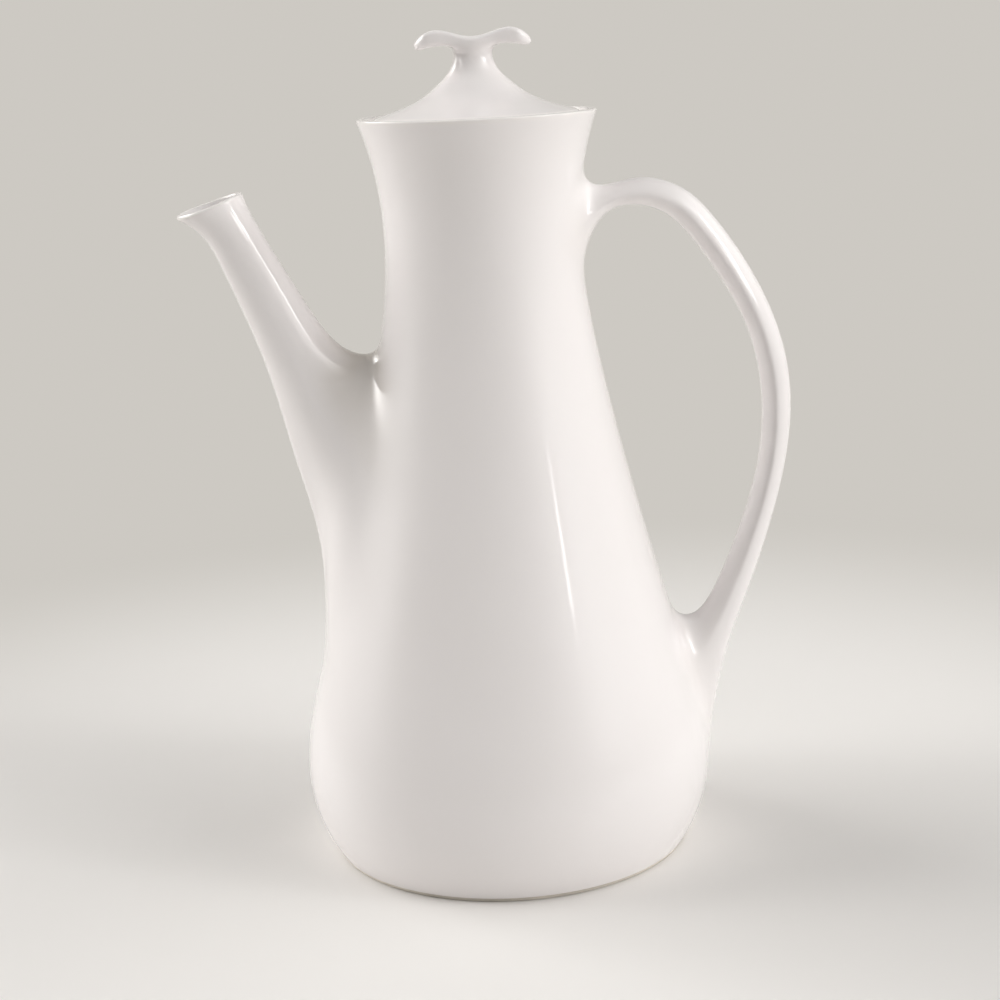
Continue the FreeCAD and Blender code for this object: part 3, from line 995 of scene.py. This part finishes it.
class COFFEEPOT_OT_lid(Operator):
    """Turns the bell-shaped lid and the flange under it"""
    bl_idname = "coffeepot.lid"
    bl_label = "Lid"

    def execute(self, context):
        sizes = context.scene.coffee_pot_lid
        segments = context.scene.coffee_pot_body.segments
        glaze = glaze_material()
        bell = bell_track(sizes)
        bell_end = bell.stations[1 + len(BELL_POINTS)]
        outside = bell.at(np.linspace(0.0, bell_end, 60))
        slope = unit(bell.slope(0.0))
        edge = (LID_RADIUS, LID_SEAT + sizes.edge)
        pull = 0.6 * sizes.brim_inset
        foot_round, collar_round, collar_bend = 0.6 * MM, 1.3 * MM, 2.0 * MM
        inside = FLANGE_RADIUS - sizes.flange_wall
        rise = KNOB_SEAT - sizes.wall - LID_SEAT
        dome_radius = (inside ** 2 + rise ** 2) / (2 * rise)
        dome_middle = KNOB_SEAT - sizes.wall - dome_radius
        spread = np.linspace(0.0, math.asin(inside / dome_radius), 30)
        dome = np.stack([dome_radius * np.sin(spread), dome_middle + dome_radius * np.cos(spread)], axis=1)
        outline = np.concatenate([
            dome,
            corner((inside, LID_SEAT), (LID_RADIUS, LID_SEAT), edge, foot_round),
            bent(edge, (0.0, pull), slope * pull, outside[0]),
            outside[1:],
            [(0.0, KNOB_SEAT)],
        ])
        mesh = turned_mesh("lid_cover", outline, segments, glaze)
        thin_band, thin_run = 2.4 * MM, 2.0 * MM
        points = mesh_points(mesh)
        mark(mesh, "edge", ramp(np.hypot(points[:, 0], points[:, 1]), LID_RADIUS - thin_band, thin_run))
        set_down("lid_cover_bell", mesh, "lid_cover", "lid", glaze)
        high_in, high_out = (inside, LID_SEAT), (FLANGE_RADIUS, LID_SEAT)
        low_in, low_out = (inside, FLANGE_FOOT), (FLANGE_RADIUS, FLANGE_FOOT)
        collar = np.concatenate([
            np.linspace(high_out, (FLANGE_RADIUS, FLANGE_FOOT + collar_bend), 6),
            corner(high_out, low_out, low_in, collar_round),
            corner(low_out, low_in, high_in, collar_round),
            np.linspace((inside, FLANGE_FOOT + collar_bend), high_in, 6),
            [high_out],
        ])
        mesh = turned_mesh("lid_flange", collar, segments, glaze)
        set_down("lid_flange_collar", mesh, "lid_flange", "lid", glaze)
        return {"FINISHED"}


class KnobShape:
    """The knob as a field: how far a point stands off its surface."""

    def __init__(self, sizes):
        self.half_span = sizes.wing_span / 2
        self.half_width = sizes.wing_width / 2
        self.round_plan = sizes.wing_corner
        self.joint = sizes.stem_joint
        rows = np.array([(share * self.half_span, (top + under) / 2 * MM, (top - under) / 2 * MM)
                         for share, top, under in WING_STATIONS])
        mirrored = np.concatenate([rows[:0:-1] * (-1, 1, 1), rows])
        self.wing = Track(mirrored[:, 0], mirrored[:, 1:])
        self.stem = TurnedSide(bell_track(sizes), STEM_SAMPLES)

    def off(self, points):
        x, y, z = points[..., 0], points[..., 1], points[..., 2]
        middle, half = np.moveaxis(self.wing.at(np.clip(x, -self.half_span, self.half_span)), -1, 0)
        corner_x = np.maximum(np.abs(x) - self.half_span + self.round_plan, 0.0)
        corner_y = np.maximum(np.abs(y) - self.half_width + self.round_plan, 0.0)
        plan = np.hypot(corner_x, corner_y) - self.round_plan
        plan = np.where((corner_x == 0) | (corner_y == 0),
                        np.maximum(np.abs(x) - self.half_span, np.abs(y) - self.half_width), plan)
        thick = np.abs(z - KNOB_SEAT - middle) - half
        rolled = np.minimum(half, WING_ROLL)
        wing = (np.hypot(np.maximum(plan + rolled, 0.0), np.maximum(thick + rolled, 0.0)) - rolled
                + np.minimum(np.maximum(plan + rolled, thick + rolled), 0.0))
        sink_start, sink_run = KNOB_SEAT + 0.2 * MM, 1.0 * MM
        sink = STEM_SINK * ramp(-z, -sink_start, sink_run)
        stem = self.stem.distance(points, sink)
        stem = np.maximum(stem, KNOB_SEAT - STEM_ROOT - z)
        stem = np.maximum(stem, z - KNOB_SEAT - STEM_POINTS[-1][1] * MM)
        near = np.maximum(self.joint - np.abs(wing - stem), 0.0) / self.joint
        return np.minimum(wing, stem) - near ** 3 * self.joint / 6

    def slope(self, points):
        step = 0.02 * MM
        parts = []
        for axis in np.identity(3):
            parts.append((self.off(points + step * axis) - self.off(points - step * axis)) / (2 * step))
        return np.stack(parts, axis=-1)


class COFFEEPOT_OT_knob(Operator):
    """Draws the waisted, two-winged knob over its field and settles each point on the surface"""
    bl_idname = "coffeepot.knob"
    bl_label = "Knob"

    def execute(self, context):
        sizes = context.scene.coffee_pot_lid
        shape = KnobShape(sizes)
        cell = sizes.cell
        reach, half_depth, below, above = sizes.wing_span / 2 + 1.5 * MM, 12.5 * MM, 2.0 * MM, 17.5 * MM
        low = np.array((-reach, -half_depth, KNOB_SEAT - below))
        high = np.array((reach, half_depth, KNOB_SEAT + above))
        counts = np.ceil((high - low) / cell).astype(int)
        axes = [low[axis] + cell * np.arange(counts[axis]) for axis in range(3)]
        field = shape.off(np.stack(np.meshgrid(*axes, indexing="ij"), axis=-1)) / cell
        band = 4.0
        grid = openvdb.FloatGrid(band)
        grid.copyFromArray(np.clip(field, -band, band))
        points, quads = grid.convertToQuads(0.0)
        points = low + np.asarray(points, float) * cell
        settling_steps, least_steep = 6, 0.25
        for _ in range(settling_steps):
            slope = shape.slope(points)
            steep = np.maximum(np.sum(slope * slope, axis=-1), least_steep)
            points = points - slope * (np.clip(shape.off(points), -cell, cell) / steep)[:, None]
        mesh = bpy.data.meshes.new("lid_knob")
        mesh.from_pydata(points.tolist(), [], np.asarray(quads).tolist())
        set_down("lid_knob", mesh, "knob", "lid", glaze_material(), KNOB_SHARP_ANGLE)
        return {"FINISHED"}


def toward(azimuth, elevation):
    """The direction of a light. Azimuth 0 is the camera's side and 90 is to its right."""
    across, up = math.radians(azimuth), math.radians(elevation)
    return Vector((math.sin(across) * math.cos(up), -math.cos(across) * math.cos(up), math.sin(up)))


def far_lamp(name, azimuth, elevation, width, strength):
    """A round lamp far off, with the width that it shows as an angle."""
    data = bpy.data.lights.new(name, "SUN")
    data.angle = math.radians(width)
    data.energy = strength
    lamp = new_object(name, data)
    lamp.rotation_euler = toward(azimuth, elevation).to_track_quat("Z", "Y").to_euler()


def lobe_strength(kit):
    """How bright the lit cloth of the studio is in each direction: soft lobes of light."""
    way = kit.add("ShaderNodeTexCoord").outputs["Generated"]
    total = 0.0
    for azimuth, elevation, narrowness, strength in LOBES:
        facing = kit.add("ShaderNodeVectorMath", {0: way, 1: toward(azimuth, elevation)},
                         operation="DOT_PRODUCT").outputs["Value"]
        soft = kit.maths("POWER", kit.maths("MAXIMUM", facing, 0.0), narrowness)
        total = kit.maths("MULTIPLY_ADD", soft, strength, total)
    return total


def floor_material(stage):
    """A pale floor that keeps the pot's shadow and runs out into the backdrop's colour."""
    material, kit, shader, place = new_material("Pale floor")
    kit.set(shader, {"Base Color": (*stage.floor, 1.0), "Roughness": 0.55, "Specular IOR Level": 0.2})
    away = kit.add("ShaderNodeVectorMath", {0: place}, operation="LENGTH").outputs["Value"]
    fade = kit.remap(away, stage.fade_start, stage.fade_end, 0.0, 1.0, interpolation_type="SMOOTHSTEP")
    rays = kit.add("ShaderNodeLightPath").outputs
    seen = kit.maths("MAXIMUM", rays["Is Camera Ray"], rays["Is Glossy Ray"])
    seen = kit.maths("MAXIMUM", seen, rays["Is Transmission Ray"])
    glow = kit.add("ShaderNodeEmission", {"Color": (*stage.backdrop, 1.0)}).outputs["Emission"]
    shown = kit.mixed(kit.maths("MULTIPLY", fade, seen), shader.outputs["BSDF"], glow)
    kit.set(kit.tree.nodes["Material Output"], {"Surface": shown})
    return material


def studio_world(stage):
    """The backdrop that is seen and mirrored, and the soft light from lit cloth round the pot."""
    world = bpy.data.worlds.new("Studio")
    world.use_nodes = True
    kit = NodeKit(world.node_tree)
    kit.tree.nodes.remove(kit.tree.nodes["Background"])
    rays = kit.add("ShaderNodeLightPath").outputs

    def glow(colour, strength):
        values = {"Color": (*colour, 1.0), "Strength": strength}
        return kit.add("ShaderNodeBackground", values).outputs["Background"]

    shown = glow(stage.backdrop, 1.0)
    mirrored = kit.maths("MAXIMUM", rays["Is Glossy Ray"], rays["Is Transmission Ray"])
    around = kit.mixed(mirrored, glow(stage.light, stage.fill), shown)
    cloth = glow(stage.light, lobe_strength(kit))
    studio = kit.add("ShaderNodeAddShader", {0: around, 1: cloth}).outputs["Shader"]
    kit.set(kit.tree.nodes["World Output"], {"Surface": kit.mixed(rays["Is Camera Ray"], studio, shown)})
    return world


class COFFEEPOT_OT_stage(Operator):
    """Sets the camera, the lamps, the floor and the backdrop"""
    bl_idname = "coffeepot.stage"
    bl_label = "Stage"

    def execute(self, context):
        scene = context.scene
        stage = scene.coffee_pot_stage
        data = bpy.data.cameras.new("Camera")
        data.sensor_width = 36.0
        data.lens = stage.lens
        camera = new_object("Camera", data)
        camera.matrix_world = (Matrix.Translation(stage.camera_place) @ Matrix.Rotation(-stage.yaw, 4, "Z")
                               @ Matrix.Rotation(math.pi / 2 - stage.pitch, 4, "X")
                               @ Matrix.Rotation(-stage.roll, 4, "Z"))
        scene.camera = camera

        mesh = bpy.data.meshes.new("floor")
        sheet = bmesh.new()
        bmesh.ops.create_circle(sheet, cap_ends=True, segments=96, radius=FLOOR_RADIUS)
        sheet.to_mesh(mesh)
        sheet.free()
        floor = new_object("floor", mesh)
        mesh.materials.append(floor_material(stage))

        for pane in WINDOW:
            far_lamp("Window pane", *pane)
        scene.world = studio_world(stage)
        scene.view_settings.view_transform = "Standard"
        return {"FINISHED"}


GROUPS = (
    ("coffee_pot_body", CoffeePotBody),
    ("coffee_pot_spout", CoffeePotSpout),
    ("coffee_pot_handle", CoffeePotHandle),
    ("coffee_pot_lid", CoffeePotLid),
    ("coffee_pot_glaze", CoffeePotGlaze),
    ("coffee_pot_stage", CoffeePotStage),
)
OPERATORS = (
    COFFEEPOT_OT_stage,
    COFFEEPOT_OT_body,
    COFFEEPOT_OT_foot_ring,
    COFFEEPOT_OT_spout,
    COFFEEPOT_OT_handle,
    COFFEEPOT_OT_lid,
    COFFEEPOT_OT_knob,
)


class COFFEEPOT_PT_maker(Panel):
    """Lists the pot's sizes and the steps that make it"""
    bl_idname = "COFFEEPOT_PT_maker"
    bl_label = "Coffee pot"
    bl_space_type = "VIEW_3D"
    bl_region_type = "UI"
    bl_category = "Coffee pot"

    def draw(self, context):
        for operator in OPERATORS:
            self.layout.operator(operator.bl_idname)
        for name, group in GROUPS:
            box = self.layout.box()
            box.label(text=group.__name__)
            for size in group.__annotations__:
                box.prop(getattr(context.scene, name), size)


def register():
    for name, group in GROUPS:
        bpy.utils.register_class(group)
        setattr(bpy.types.Scene, name, PointerProperty(type=group))
    for operator in OPERATORS:
        bpy.utils.register_class(operator)
    bpy.utils.register_class(COFFEEPOT_PT_maker)


def unregister():
    bpy.utils.unregister_class(COFFEEPOT_PT_maker)
    for operator in reversed(OPERATORS):
        bpy.utils.unregister_class(operator)
    for name, group in reversed(GROUPS):
        delattr(bpy.types.Scene, name)
        bpy.utils.unregister_class(group)


def main():
    register()
    bpy.ops.coffeepot.stage()
    bpy.ops.coffeepot.body()
    bpy.ops.coffeepot.foot_ring()
    bpy.ops.coffeepot.spout()
    bpy.ops.coffeepot.handle()
    bpy.ops.coffeepot.lid()
    bpy.ops.coffeepot.knob()


if __name__ == "__main__":
    main()
